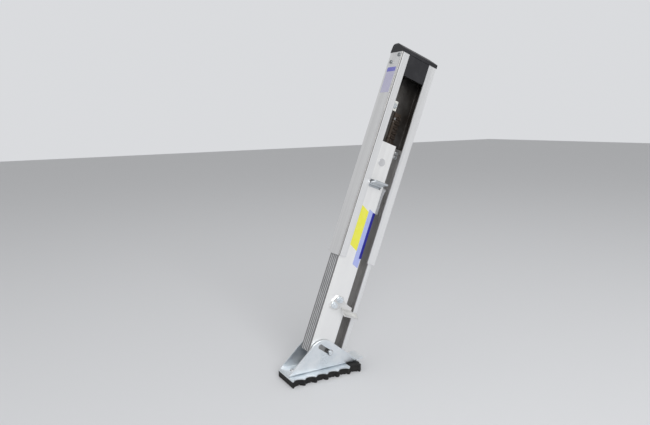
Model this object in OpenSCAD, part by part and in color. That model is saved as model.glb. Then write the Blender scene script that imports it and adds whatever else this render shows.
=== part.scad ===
// Ladder leveller: a ribbed leg slides in a channel bolted to a ladder rail and stands on a swivel foot.
// Millimetres. The origin lies midway between the two rail bolts, on the channel's back face.
// +X points out of the rail, +Y from the climber to the wall, +Z straight up.
// The channel and leg are drawn upright in the unit's own frame (Z along the leg, from the channel's
// lower end) and leant back by on_rail(). The foot is drawn about its pivot and stays level.

/* [Stance] */
// Lean of the leveller from upright, in degrees
lean = 21.5; // [12:0.5:28]

/* [Channel] */
// Length of the channel
channel_length = 392; // [388:1:430]
// Clearance between each side of the leg and the channel's flange
side_clearance = 1.5; // [1:0.1:3]
// Depth of the channel, back wall to lips
channel_depth = 38; // [38:0.5:42]
// Thickness of the channel's back wall and flanges
channel_wall = 3; // [2.5:0.1:3]
// Width of each inturned lip, outer face included
lip_width = 17.4; // [14:0.2:17.6]
// Thickness of the lips
lip_wall = 2.6; // [2:0.1:2.6]

/* [Rail bolts] */
// Distance between the two rail bolts
bolt_spacing = 114.3; // [110:0.1:118]
// Height of the lower rail bolt above the channel's lower end
bolt_lower_z = 188; // [184:1:192]
// Diameter of the rail bolts
rail_bolt_d = 8; // [6:0.5:8]
// Reach of the rail bolts behind the channel
rail_bolt_reach = 24; // [14:1:40]

/* [Leg] */
// Length of the leg extrusion
leg_length = 410; // [370:1:440]
// Width of the leg, front to rear
leg_width = 75; // [67:0.5:85]
// Length of leg that stands out of the channel at full extension
leg_show = 185; // [165:1:205]
// Thickness of the leg's walls
leg_wall = 2.5; // [2.2:0.1:2.5]
// Width of the recess beside the leg's outer face, rear flange included
recess_width = 25.8; // [25.6:0.1:28]

/* [Rack and lock] */
// Distance from tooth to tooth
tooth_pitch = 9.5; // [9.5:0.1:9.6]
// Number of teeth on the rack
tooth_count = 20; // [19:1:20]
// Distance of the lock shaft below the top of the leg
shaft_drop = 85; // [80:0.5:95]
// Angle the lock turns from released to locked, in degrees
lock_swing = 14; // [12:0.5:15]

/* [Foot] */
// Length of the foot's ears where they meet the base plate
ear_length = 142; // [136:1:150]
// Thickness of the foot bracket
bracket_wall = 3; // [2.5:0.1:3]
// Height of the pivot above the top of the base plate
pivot_height = 26.5; // [26:0.5:30]
// Thickness of the rubber pad
pad_height = 11; // [9:0.1:16]
// Thickness of the steel plate bonded to the pad's top
pad_plate_wall = 1.6; // [1:0.1:2.5]
// How far the pad stands out past the outer ear
pad_overhang = 18.2; // [14:0.2:22]
// Travel of the pivot pin along the foot's slots
slot_travel = 24; // [20:0.5:25]
// Diameter of the pivot pin
pivot_pin_d = 8; // [7:0.5:8]

/* [Hidden] */

$fn = 48;
cut = 1;              // how far cutters run past what they cut
gap = 0.05;           // radial clearance of fasteners in their holes
run = 0.06;           // radial clearance of turning fits

// Colours
aluminium = [0.82, 0.83, 0.84];
satin_aluminium = [0.74, 0.74, 0.76];
zinc = [0.70, 0.75, 0.79];
black_plastic = [0.07, 0.07, 0.08];
white_nylon = [0.90, 0.90, 0.87];
rubber = [0.06, 0.06, 0.06];
steel = [0.62, 0.64, 0.66];

// Channel
inner_half = leg_width / 2 + side_clearance;
half_width = inner_half + channel_wall;
lip_inner = half_width - lip_width;
bolt_mid_z = bolt_lower_z + bolt_spacing / 2;
bolt_zs = [bolt_lower_z, bolt_lower_z + bolt_spacing];

// Leg section
leg_half = leg_width / 2;
leg_in = channel_wall + 0.7;
leg_out = channel_depth - lip_wall - 0.9;
leg_top = leg_length - leg_show;
face_edge = leg_half - recess_width;
shaft_z = leg_top - shaft_drop;
floor_x = leg_in + 8.3;
floor_top = floor_x + leg_wall;
front_wall = leg_wall + 0.3;
rear_lip_y = leg_half - 8.2;
front_groove_xs = [leg_in + 3.6 : 6 : leg_out - 4];
guide_in = leg_in + 4.3;
guide_out = leg_out - 4.5;

// Rack, bolted side of the channel
pawl_front = face_edge + 0.5;
pawl_rear = pawl_front + 7;
rack_left = pawl_front - 7.8;
rack_right = pawl_rear + 0.8;
rack_rail = 5;
plate_half = 6;
bolt_y = rack_left - plate_half - 0.4;
bolt_way = bolt_y - plate_half - 3;
rack_base_x = channel_wall + 2.5;
rack_rail_x = channel_wall + 3.5;
rack_tip_x = channel_wall + 6;
pawl_drop = 41;
tooth_first_z = shaft_z - pawl_drop;
tooth_land = 2.2;
tooth_ramp = rack_tip_x - rack_base_x;
hook_angle = 20;
rack_bottom = tooth_first_z - 5;
rack_top = tooth_first_z + (tooth_count - 1) * tooth_pitch + tooth_land + tooth_ramp + 6;
rack_rivet_zs = [rack_bottom + 12, (rack_bottom + rack_top) / 2, rack_top - 12];

// Lock
shaft_x = 24;
shaft_d = 8;
hub_r = 7;
lever_front = -leg_half + 14.5;
lever_rear = face_edge - 6.7;
lever_end_x = 28.2;
lever_end_z = 8.6;
slot_low = shaft_z - 2.4;
slot_high = shaft_z + 12;
pawl_teeth = 3;
pawl_first = -pawl_drop;

// Leg stop, at full extension
stop_rear = leg_half - 4.3;
stop_front = stop_rear - 8.6;
stop_z = leg_top - 21;
stop_gap = 0.2;

// Spring leaf over the lever's hub
detent_y = (lever_front + lever_rear) / 2 - 1;
detent_half = 6;
detent_up = 47;
detent_top = detent_up + 8;
detent_knee = 24;

// Foot pivot and bracket, about the pivot
sleeve_r = pivot_pin_d / 2 + 1.5;
pivot_y = face_edge - leg_wall - sleeve_r - 0.2;
pivot_z = 9 - leg_show;
pivot_x = (leg_in + leg_out) / 2;
washer_wall = 2.3;
ear_in = (leg_out - leg_in) / 2 + washer_wall + 0.2;
ear_out = ear_in + bracket_wall;
ear_front = -0.588 * ear_length;
ear_rear = ear_front + ear_length;
plate_top = -pivot_height;
plate_low = plate_top - bracket_wall;
pad_top = plate_low - pad_plate_wall;
sole = pad_top - pad_height;
apex_r = 29;
apex_y = -14.5;
apex_z = -3.2;
tail_length = 14.5;
tail_rise = 2;
slot_angle = 37.8;
slot_neck = pivot_pin_d + 0.5;
slot_lobe_r = pivot_pin_d / 2 + 0.7;
pad_front = ear_front - 2.5;
pad_rear = ear_rear + 0.6;
pad_near = ear_out + pad_overhang;
pad_far = -ear_out;
pad_plate_rear = ear_rear - 24.5;
notch_pitch = 22.9;
notch_r = 11;
notch_depth = 6;
rivet_ys = [ear_front + 15, ear_front + 37, ear_rear - 13.5];

// Stirrup on the leg's face, near the leg's lower end
stirrup_wall = 3;
stirrup_low = 95 - leg_show;
stirrup_high = stirrup_low + 12;
stirrup_low_y = -18.2;
stirrup_high_y = -9.5;
stirrup_front = -24;
stirrup_rear = 22;
stirrup_bolts_yz = [[stirrup_high_y, stirrup_high], [stirrup_low_y, stirrup_low]];
stirrup_bend_z = stirrup_low - 0.5;
tread_front = 0.5;
tread_rear = 31.5;
tread_length = 17;
tread_drop = 29;
bend_r = 3;
rib_count = 5;

// End cap
cap_height = 21;
cap_edge = 8;
cap_skirt = 40;
cap_round = 8;
cap_ridge_x = 7.5;
cap_ridge_r = 5.5;
cap_edge_r = 3;
cap_screw_xz = [[11.4, channel_length - 19.3], [30.4, channel_length - 6.5]];

// Leans a piece of the upright unit back onto the rail and puts the origin between the rail bolts
module on_rail() {
    rotate([-lean, 0, 0])
        translate([0, -bolt_y, -bolt_mid_z])
            children();
}

// Puts a piece drawn about the foot's pivot in its place, level with the ground
module at_pivot() {
    rotate([-lean, 0, 0])
        translate([pivot_x, pivot_y - bolt_y, pivot_z - bolt_mid_z])
            rotate([lean, 0, 0])
                children();
}

// Cylinder along X from x0 to x1
module rod_x(r, x0, x1) {
    translate([x0, 0, 0])
        rotate([0, 90, 0])
            cylinder(r = r, h = x1 - x0);
}

// Cylinder along Y from y0 to y1
module rod_y(r, y0, y1) {
    translate([0, y1, 0])
        rotate([90, 0, 0])
            cylinder(r = r, h = y1 - y0);
}

// Box between two corners
module block(low, high) {
    translate(low)
        cube(high - low);
}

// Outline in X and Z, extruded along Y from y0 to y1
module along_y(y0, y1) {
    translate([0, y1, 0])
        rotate([90, 0, 0])
            linear_extrude(y1 - y0)
                children();
}

// Outline in Y and Z, extruded along X from x0 to x1
module along_x(x0, x1) {
    translate([x0, 0, 0])
        rotate([90, 0, 90])
            linear_extrude(x1 - x0)
                children();
}

// Rectangle between two corners
module rect(low, high) {
    translate(low)
        square(high - low);
}

// Rectangle with its four corners rounded to radius r
module round_rect(low, high, r) {
    rect([low[0] + r, low[1]], [high[0] - r, high[1]]);
    rect([low[0], low[1] + r], [high[0], high[1] - r]);
    for (x = [low[0] + r, high[0] - r], y = [low[1] + r, high[1] - r])
        translate([x, y])
            circle(r = r);
}

// Rivet or screw along X: head of radius head_r and height head_h standing on x0, shank to x1
module rivet_x(head_r, head_h, shank_r, x0, x1) {
    rod_x(shank_r, x1, x0);
    rod_x(head_r, x0, x0 + head_h);
}

// Channel section in X and Y: back wall, two flanges with inturned lips, a line along the front corner
module channel_section() {
    line_y = -half_width + 2.2;
    difference() {
        round_rect([0, -half_width], [channel_depth, half_width], 1.2);
        round_rect([channel_wall, -inner_half], [channel_depth - lip_wall, inner_half], 0.8);
        rect([channel_depth - lip_wall - cut, -lip_inner], [channel_depth + cut, lip_inner]);
        rect([channel_depth - 0.7, line_y], [channel_depth + cut, line_y + 1]);
    }
}

module channel() {
    color(aluminium)
        on_rail()
            difference() {
                linear_extrude(channel_length)
                    channel_section();
                for (z = bolt_zs)
                    translate([0, bolt_y, z])
                        rod_x(rail_bolt_d / 2 + gap, -cut, channel_wall + cut);
                for (z = rack_rivet_zs)
                    translate([0, rack_left + rack_rail / 2, z])
                        rod_x(1.6 + gap, -cut, channel_wall + cut);
                for (z = [stop_z - 4, stop_z - 11])
                    translate([0, (stop_front + stop_rear) / 2, z])
                        rod_x(1.6 + gap, -cut, channel_wall + cut);
                for (xz = cap_screw_xz, side = [-1, 1])
                    translate([xz[0], side * (half_width - channel_wall / 2), xz[1]])
                        rod_y(1.75 + gap, -channel_wall, channel_wall);
            }
}

// Hollow moulded cap: a ridge along its back and a roof that falls to the outer edge, a skirt that
// closes the mouth between the lips, and two screw tabs
module end_cap() {
    low = channel_length;
    high = channel_length + cap_height;
    over = 0.6;
    shell = 5.6;
    outer = channel_depth + over;
    ridge = [cap_ridge_x, high - cap_ridge_r];
    edge = [outer - cap_edge_r, low + cap_edge - cap_edge_r];
    run_out = edge - ridge;
    turn = atan2(run_out[1], run_out[0]) + acos((cap_ridge_r - cap_edge_r) / norm(run_out));
    fall = [cos(turn), sin(turn)];
    skirt_in = channel_depth - lip_wall + 0.1;
    tab_low = channel_length - 23.5;
    color(black_plastic)
        on_rail()
            difference() {
                union() {
                    intersection() {
                        along_y(-half_width - over, half_width + over)
                            union() {
                                polygon([[0, low], [outer, low], [outer, edge[1]],
                                         edge + cap_edge_r * fall, ridge + cap_ridge_r * fall,
                                         [cap_ridge_x - cap_ridge_r, ridge[1]], [0, low + 3]]);
                                translate(ridge)
                                    circle(r = cap_ridge_r);
                                translate(edge)
                                    circle(r = cap_edge_r);
                            }
                        along_x(-cut, channel_depth + over + cut)
                            union() {
                                rect([-half_width - over, low], [half_width + over, high - cap_round]);
                                rect([-half_width - over + cap_round, low],
                                     [half_width + over - cap_round, high]);
                                for (side = [-1, 1])
                                    translate([side * (half_width + over - cap_round), high - cap_round])
                                        circle(r = cap_round);
                            }
                    }
                    block([skirt_in, -lip_inner + 0.3, low - cap_skirt],
                          [channel_depth - 0.2, lip_inner - 0.3, low + 2]);
                    for (side = [-1, 1])
                        block([7, min(side * (inner_half - 0.1), side * (inner_half - 3)), tab_low],
                              [channel_depth - lip_wall - 0.5,
                               max(side * (inner_half - 0.1), side * (inner_half - 3)), low + 2]);
                }
                along_y(-inner_half + 3, inner_half - 3)
                    polygon([[channel_wall + 1, low - cut], [channel_depth - shell, low - cut],
                             [channel_depth - shell, low + 2.5], [cap_ridge_x + 2.5, high - 6],
                             [channel_wall + 1, high - 6]]);
                for (xz = cap_screw_xz, side = [-1, 1])
                    translate([xz[0], side * (inner_half - 1.5), xz[1]])
                        rod_y(1.75 + gap, -3, 3);
            }
}

// Four pan-head screws, two in each flange
module cap_screws() {
    color(zinc)
        on_rail()
            for (xz = cap_screw_xz, side = [-1, 1])
                translate([xz[0], side * half_width, xz[1]])
                    scale([1, side, 1]) {
                        rod_y(1.75, -5.4, 0.01);
                        rod_y(3.4, 0, 1.9);
                    }
}

// Toothed strip: base, plain rail beside the bolts, and hooked teeth that face out of the channel
module rack() {
    undercut = (rack_tip_x - rack_base_x) * tan(hook_angle);
    teeth = [for (i = [0 : tooth_count - 1])
                let (z = tooth_first_z + i * tooth_pitch)
                each [[rack_base_x, z + undercut], [rack_tip_x, z], [rack_tip_x, z + tooth_land],
                      [rack_base_x, z + tooth_land + tooth_ramp]]];
    color(satin_aluminium)
        on_rail()
            difference() {
                union() {
                    block([channel_wall, rack_left, rack_bottom], [rack_base_x, rack_right, rack_top]);
                    block([channel_wall, rack_left, rack_bottom],
                          [rack_rail_x, rack_left + rack_rail, rack_top]);
                    along_y(rack_left + rack_rail, rack_right)
                        polygon(concat([[channel_wall, rack_bottom], [rack_base_x, rack_bottom]], teeth,
                                       [[rack_base_x, rack_top], [channel_wall, rack_top]]));
                }
                for (z = rack_rivet_zs)
                    translate([0, rack_left + rack_rail / 2, z])
                        rod_x(1.6 + gap, 0, rack_tip_x + cut);
            }
}

module rack_rivets() {
    color(steel)
        on_rail()
            for (z = rack_rivet_zs)
                translate([0, rack_left + rack_rail / 2, z])
                    rivet_x(2.3, 1, 1.6, rack_rail_x, 0.2);
}

// Two rail bolts: button heads inside the channel, plain shanks through its back, then the thread
module rail_bolts() {
    color(zinc)
        on_rail()
            for (z = bolt_zs)
                translate([0, bolt_y, z]) {
                    rod_x(rail_bolt_d / 2, -0.2, channel_wall + 3);
                    rod_x(rail_bolt_d / 2 - 0.2, -rail_bolt_reach, 0);
                    rotate([0, 90, 0])
                        translate([0, 0, channel_wall + 3])
                            cylinder(r1 = 5.5, r2 = 4, h = 3);
                }
}

// Square load plates under the bolt heads
module clamp_plates() {
    color(white_nylon)
        on_rail()
            for (z = bolt_zs)
                translate([0, bolt_y, z])
                    difference() {
                        block([channel_wall, -plate_half, -9.5], [channel_wall + 3, plate_half, 9.5]);
                        rod_x(rail_bolt_d / 2 + gap, 0, channel_wall + 4);
                    }
}

// Nylon strips in the channel's mouth that bear on the leg's sides
module mouth_guides() {
    color(white_nylon)
        on_rail()
            for (side = [-1, 1])
                scale([1, side, 1])
                    block([guide_in, leg_half + 0.25, 1], [guide_out, inner_half, 33]);
}

// Lug on the channel's back wall that the leg's stop block lands on
module stop_lug() {
    color(satin_aluminium)
        on_rail()
            difference() {
                block([channel_wall, stop_front + 0.6, stop_z - 15],
                      [channel_wall + 5.5, stop_rear - 0.6, stop_z]);
                for (z = [stop_z - 4, stop_z - 11])
                    translate([0, (stop_front + stop_rear) / 2, z])
                        rod_x(1.6 + gap, 0, channel_wall + 6);
            }
}

module lug_rivets() {
    color(steel)
        on_rail()
            for (z = [stop_z - 4, stop_z - 11])
                translate([0, (stop_front + stop_rear) / 2, z])
                    rivet_x(2.8, 1.2, 1.6, channel_wall + 5.5, 0.2);
}

// Leg section in X and Y: a front box behind the wide outer face, a deep recess, a rear flange,
// and on the inner side the ways that the rack, the bolt heads and the stop lug run in
module leg_section() {
    wall = leg_wall;
    difference() {
        union() {
            rect([leg_out - wall, -leg_half], [leg_out, face_edge - 3]);
            intersection() {
                rect([floor_x, face_edge - 9], [leg_out, face_edge]);
                union() {
                    rect([floor_x, face_edge - 9], [leg_out - 3, face_edge]);
                    rect([leg_out - 4, face_edge - 9], [leg_out, face_edge - 3]);
                    translate([leg_out - 3, face_edge - 3])
                        circle(r = 3);
                }
            }
            rect([leg_in, -leg_half], [leg_out, -leg_half + front_wall]);
            rect([leg_in, -leg_half], [leg_in + wall, bolt_way]);
            rect([leg_in, bolt_way - wall], [floor_top, bolt_way]);
            rect([floor_x, bolt_way - wall], [floor_top, leg_half]);
            rect([leg_in, leg_half - wall], [leg_out, leg_half]);
            rect([leg_out - wall, rear_lip_y], [leg_out, leg_half]);
            rect([leg_in, rack_right + 1.6], [floor_top, rack_right + 3.4]);
            rect([leg_in, leg_half - 4], [leg_in + wall, leg_half]);
        }
        rect([floor_top, face_edge - 9 - cut], [leg_out - wall, face_edge - wall]);
        for (x = front_groove_xs)
            rect([x, -leg_half - cut], [x + 2.6, -leg_half + 1]);
    }
}

module leg() {
    color(aluminium)
        on_rail()
            difference() {
                translate([0, 0, -leg_show])
                    linear_extrude(leg_length)
                        leg_section();
                // lever slot through the outer face
                block([leg_out - leg_wall - cut, lever_front - 0.6, slot_low],
                      [leg_out + cut, lever_rear + 0.6, slot_high]);
                // window through the floor for the pawl
                block([floor_x - cut, face_edge + 0.1, shaft_z - 49],
                      [floor_top + cut, pawl_rear + 1, shaft_z - 9]);
                // bearings of the lock shaft
                translate([shaft_x, 0, shaft_z])
                    rod_y(shaft_d / 2 + run, -leg_half - cut, face_edge + cut);
                // sleeve holes of the foot pivot
                translate([0, pivot_y, pivot_z])
                    rod_x(sleeve_r + gap, floor_x - cut, leg_out + cut);
                for (yz = stirrup_bolts_yz)
                    translate([0, yz[0], yz[1]])
                        rod_x(3 + gap, leg_out - leg_wall - cut, leg_out + cut);
                translate([0, detent_y, shaft_z + detent_up])
                    rod_x(2.5 + gap, leg_out - leg_wall - cut, leg_out + cut);
                for (z = [stop_z + 4.5, stop_z + 12.5])
                    translate([0, (stop_front + stop_rear) / 2, z])
                        rod_x(2 + gap, floor_x - cut, floor_top + cut);
            }
}

// Nylon strips near the leg's top that bear on the channel's flanges
module leg_guides() {
    color(white_nylon)
        on_rail()
            for (side = [-1, 1])
                scale([1, side, 1])
                    block([guide_in, leg_half, leg_top - 46], [guide_out, inner_half - 0.25, leg_top - 4]);
}

// Block on the leg that lands on the stop lug at full extension
module stop_block() {
    color(black_plastic)
        on_rail()
            difference() {
                block([leg_in + 0.2, stop_front, stop_z + stop_gap], [floor_x, stop_rear, stop_z + 17]);
                for (z = [stop_z + 4.5, stop_z + 12.5])
                    translate([0, (stop_front + stop_rear) / 2, z])
                        rod_x(2 + gap, floor_x - 7, floor_x + cut);
            }
}

module stop_screws() {
    color(zinc)
        on_rail()
            for (z = [stop_z + 4.5, stop_z + 12.5])
                translate([0, (stop_front + stop_rear) / 2, z])
                    rivet_x(3.4, 1.8, 2, floor_top, floor_x - 6.5);
}

// Spring leaf inside the box: riveted to the face, its rolled nose over the lever's hub
module detent_spring() {
    leaf = 0.8;
    back = leg_out - leg_wall - leaf;
    nose_r = 1.2;
    nose_dx = -2.6;
    nose_dz = sqrt(pow(hub_r + nose_r + 0.3, 2) - nose_dx * nose_dx);
    knee_z = shaft_z + detent_knee;
    top_z = shaft_z + detent_top;
    color(steel)
        on_rail()
            difference() {
                along_y(detent_y - detent_half, detent_y + detent_half)
                    union() {
                        polygon([[back, top_z], [back, knee_z],
                                 [shaft_x + nose_dx + 0.2, shaft_z + nose_dz + 0.9],
                                 [shaft_x + nose_dx + 1, shaft_z + nose_dz + 0.4],
                                 [back + leaf, knee_z], [back + leaf, top_z]]);
                        translate([shaft_x + nose_dx, shaft_z + nose_dz])
                            circle(r = nose_r);
                    }
                translate([0, detent_y, shaft_z + detent_up])
                    rod_x(2.5 + gap, back - cut, back + leaf + cut);
            }
}

// Rivet that holds the spring leaf, its wide flat head the round mark on the leg's face
module detent_rivet() {
    color(satin_aluminium)
        on_rail()
            translate([0, detent_y, shaft_z + detent_up]) {
                rivet_x(7.2, 0.7, 2.5, leg_out, leg_out - leg_wall - 0.8);
                rod_x(4, leg_out - leg_wall - 2.4, leg_out - leg_wall - 0.8);
            }
}

// Moulded plug in the lower end of the leg's box, round the pivot sleeve
module bottom_plug() {
    color(black_plastic)
        on_rail()
            difference() {
                block([floor_top, -leg_half + front_wall + 0.1, -leg_show],
                      [leg_out - leg_wall, face_edge - leg_wall - 0.1, -leg_show + 22]);
                translate([0, pivot_y, pivot_z])
                    rod_x(sleeve_r + gap, floor_top - cut, leg_out);
            }
}

// Steel sleeve through the leg that the pivot bolt turns in
module pivot_sleeve() {
    color(steel)
        on_rail()
            translate([0, pivot_y, pivot_z])
                difference() {
                    rod_x(sleeve_r, leg_in, leg_out);
                    rod_x(pivot_pin_d / 2 + run, leg_in - cut, leg_out + cut);
                }
}

// Bent plate: flat on the leg's face at the bolts, curving out into a short ribbed tread
module stirrup() {
    face = leg_out;
    centre = [face + stirrup_wall + bend_r, stirrup_bend_z];
    outer_r = bend_r + stirrup_wall;
    color(zinc)
        on_rail()
            difference() {
                union() {
                    along_x(face, face + stirrup_wall)
                        polygon([[stirrup_front, stirrup_low + 6], [stirrup_front, stirrup_low - 6.5],
                                 [stirrup_high_y - 0.5, stirrup_low - 8], [tread_front, stirrup_bend_z],
                                 [stirrup_rear, stirrup_bend_z], [stirrup_rear, stirrup_bend_z + 3],
                                 [stirrup_rear - 9, stirrup_bend_z + 5.5],
                                 [stirrup_high_y + 12.5, stirrup_high - 2],
                                 [stirrup_high_y + 6, stirrup_high + 6.5],
                                 [stirrup_high_y - 5.5, stirrup_high + 6.5]]);
                    along_y(tread_front, stirrup_rear)
                        union() {
                            rect([face, stirrup_bend_z], [face + stirrup_wall, stirrup_bend_z + 2]);
                            intersection() {
                                translate(centre)
                                    difference() {
                                        circle(r = outer_r);
                                        circle(r = bend_r);
                                    }
                                polygon([centre + [0, 0.2], centre + [-20, 0.2], centre + [-20, -20],
                                         centre + 20 * [-sin(tread_drop), -cos(tread_drop)]]);
                            }
                            tread_profile(centre, -0.4, outer_r);
                        }
                    along_y(stirrup_rear - 1, tread_rear)
                        tread_profile(centre, 2.2, outer_r);
                    translate([centre[0], 0, centre[1]])
                        rotate([0, tread_drop, 0])
                            for (i = [0 : rib_count - 1])
                                translate([(tread_length + 2) / 2, tread_front + 5 + i * 5, -bend_r])
                                    rotate([0, 0, 35])
                                        block([-6, -0.6, -0.3], [6, 0.6, 0.7]);
                }
                for (yz = stirrup_bolts_yz)
                    translate([0, yz[0], yz[1]])
                        rod_x(3 + gap, face - cut, face + stirrup_wall + cut);
            }
}

// Tread's outline in X and Z, from x0 along the tread to its end
module tread_profile(centre, x0, outer_r) {
    translate(centre)
        rotate(-tread_drop)
            rect([x0, -outer_r], [tread_length, -bend_r]);
}

module stirrup_bolts() {
    color(zinc)
        on_rail()
            for (yz = stirrup_bolts_yz)
                translate([0, yz[0], yz[1]]) {
                    rod_x(3, leg_out - leg_wall, leg_out + stirrup_wall + 6.8);
                    rod_x(5, leg_out - leg_wall - 4, leg_out - leg_wall);
                }
}

module stirrup_washers() {
    face = leg_out + stirrup_wall;
    color(zinc)
        on_rail()
            for (yz = stirrup_bolts_yz)
                translate([0, yz[0], yz[1]])
                    difference() {
                        rod_x(5.7, face, face + 1);
                        rod_x(3 + gap, face - cut, face + 2);
                    }
}

module stirrup_nuts() {
    face = leg_out + stirrup_wall + 1;
    color(zinc)
        on_rail()
            for (yz = stirrup_bolts_yz)
                translate([0, yz[0], yz[1]])
                    difference() {
                        translate([face, 0, 0])
                            rotate([0, 90, 0])
                                cylinder(d = 11, h = 4.2, $fn = 6);
                        rod_x(3 + gap, face - cut, face + 6);
                    }
}

// Puts a piece drawn about the lock shaft in its place; a locked piece is turned back to released
module at_shaft(turn = 0) {
    on_rail()
        translate([shaft_x, 0, shaft_z])
            rotate([0, -turn, 0])
                children();
}

// Shaft that carries the lever in the box and the pawl in the recess, with a groove for each clip
module lock_shaft() {
    color(steel)
        at_shaft()
            difference() {
                rod_y(shaft_d / 2, -leg_half + 0.3, pawl_rear + 2.5);
                for (y = [-leg_half + front_wall + 0.4, pawl_rear + 0.4])
                    translate([0, y, 0])
                        difference() {
                            rod_y(shaft_d / 2 + cut, 0, 1.1);
                            rod_y(shaft_d / 2 - 0.6, -cut, 1.1 + cut);
                        }
                roll_pin_holes();
            }
}

// Cross holes of the two roll pins, through hubs and shaft
module roll_pin_holes(r = 1.25 + 0.05) {
    for (y = [lever_front + 4, (pawl_front + pawl_rear) / 2])
        translate([0, y, 0])
            rotate([0, 30, 0])
                translate([0, 0, -hub_r - cut])
                    cylinder(r = r, h = 2 * (hub_r + cut));
}

module roll_pins() {
    color(steel)
        at_shaft()
            for (y = [lever_front + 4, (pawl_front + pawl_rear) / 2])
                translate([0, y, 0])
                    rotate([0, 30, 0])
                        translate([0, 0, -hub_r + 0.4])
                            cylinder(r = 1.25, h = 2 * (hub_r - 0.4));
}

// Lever, drawn released: tube on the shaft, arm out through the slot, thin blade with a hemmed end
module lock_lever() {
    color(zinc)
        at_shaft()
            difference() {
                along_y(lever_front, lever_rear)
                    difference() {
                        union() {
                            circle(r = hub_r);
                            rect([0, 1.6], [13, 6.2]);
                            polygon([[9, 3.7], [12.9, 3.7], [lever_end_x, lever_end_z - 1.8],
                                     [lever_end_x, lever_end_z + 1.2], [12, 6.2], [9, 6.2]]);
                            translate([lever_end_x, lever_end_z])
                                circle(r = 2.3);
                        }
                        circle(r = shaft_d / 2 + gap);
                    }
                roll_pin_holes();
            }
}

// Pawl, drawn locked about the shaft: hub, arm down behind the rack and hooked teeth under its teeth
module lock_pawl() {
    mouth = rack_tip_x - shaft_x;
    tip = mouth - 2.6;
    root = mouth + 1.6;
    play = 0.35;
    low = pawl_first - 6;
    color(steel)
        at_shaft(lock_swing)
            difference() {
                along_y(pawl_front, pawl_rear)
                    difference() {
                        union() {
                            circle(r = hub_r);
                            polygon([[-6.9, 1], [-8, -8], [root - 0.4, -15], [root - 0.4, low],
                                     [root + 7, low], [2, -13], [6.5, -2.5]]);
                            for (i = [0 : pawl_teeth - 1]) {
                                z = pawl_first + i * tooth_pitch - play;
                                polygon([[root, z - 1.6 * tan(hook_angle)], [tip, z + 2.6 * tan(hook_angle)],
                                         [tip, z + 2.6 * tan(hook_angle) - 2], [root, z - 5.8]]);
                            }
                        }
                        circle(r = shaft_d / 2 + gap);
                    }
                rotate([0, lock_swing, 0])
                    roll_pin_holes();
            }
}

// Open clips in the shaft's grooves
module shaft_clips() {
    color(steel)
        at_shaft()
            for (y = [-leg_half + front_wall + 0.5, pawl_rear + 0.5])
                translate([0, y, 0])
                    difference() {
                        rod_y(6, 0, 0.9);
                        rod_y(shaft_d / 2 - 0.55, -cut, 0.9 + cut);
                        block([-2.6, -cut, -8], [2.6, 1 + cut, 0]);
                    }
}

// Pivot pin through the foot's ears and the leg's sleeve: head on the rail side, clip on the outer side
module pivot_pin() {
    color(zinc)
        at_pivot()
            difference() {
                union() {
                    rod_x(pivot_pin_d / 2, -ear_out - 0.2, ear_out + 3);
                    rod_x(7, -ear_out - 3.2, -ear_out - 0.2);
                }
                difference() {
                    rod_x(pivot_pin_d / 2 + cut, ear_out + 0.3, ear_out + 1.4);
                    rod_x(pivot_pin_d / 2 - 0.6, ear_out, ear_out + 2);
                }
            }
}

module pivot_clip() {
    color(steel)
        at_pivot()
            difference() {
                rod_x(5.7, ear_out + 0.4, ear_out + 1.3);
                rod_x(pivot_pin_d / 2 - 0.55, ear_out, ear_out + 2);
                block([ear_out, -7, -2.4], [ear_out + 2, 0, 2.4]);
            }
}

// Spacer washers between the leg and the ears
module pivot_washers() {
    inner = (leg_out - leg_in) / 2 + 0.1;
    color(white_nylon)
        at_pivot()
            for (side = [-1, 1])
                scale([side, 1, 1])
                    difference() {
                        rod_x(9, inner, inner + washer_wall);
                        rod_x(pivot_pin_d / 2 + gap, inner - cut, inner + washer_wall + cut);
                    }
}

// Side outline of the bracket in Y and Z: base plate and the ear's triangle with its round top
module bracket_side() {
    rise = apex_z - plate_top;
    front_run = apex_y - ear_front;
    rear_run = ear_rear - apex_y;
    left = atan2(rise, front_run) + asin(apex_r / norm([front_run, rise]));
    right = atan2(rise, rear_run) + asin(apex_r / norm([rear_run, rise]));
    rect([ear_front, plate_low], [ear_rear, plate_top]);
    polygon([[ear_front, plate_low], [ear_front, plate_top],
             [apex_y - apex_r * sin(left), apex_z + apex_r * cos(left)],
             [apex_y, apex_z],
             [apex_y + apex_r * sin(right), apex_z + apex_r * cos(right)],
             [ear_rear, plate_top], [ear_rear, plate_low]]);
    translate([apex_y, apex_z])
        circle(r = apex_r);
}

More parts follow.
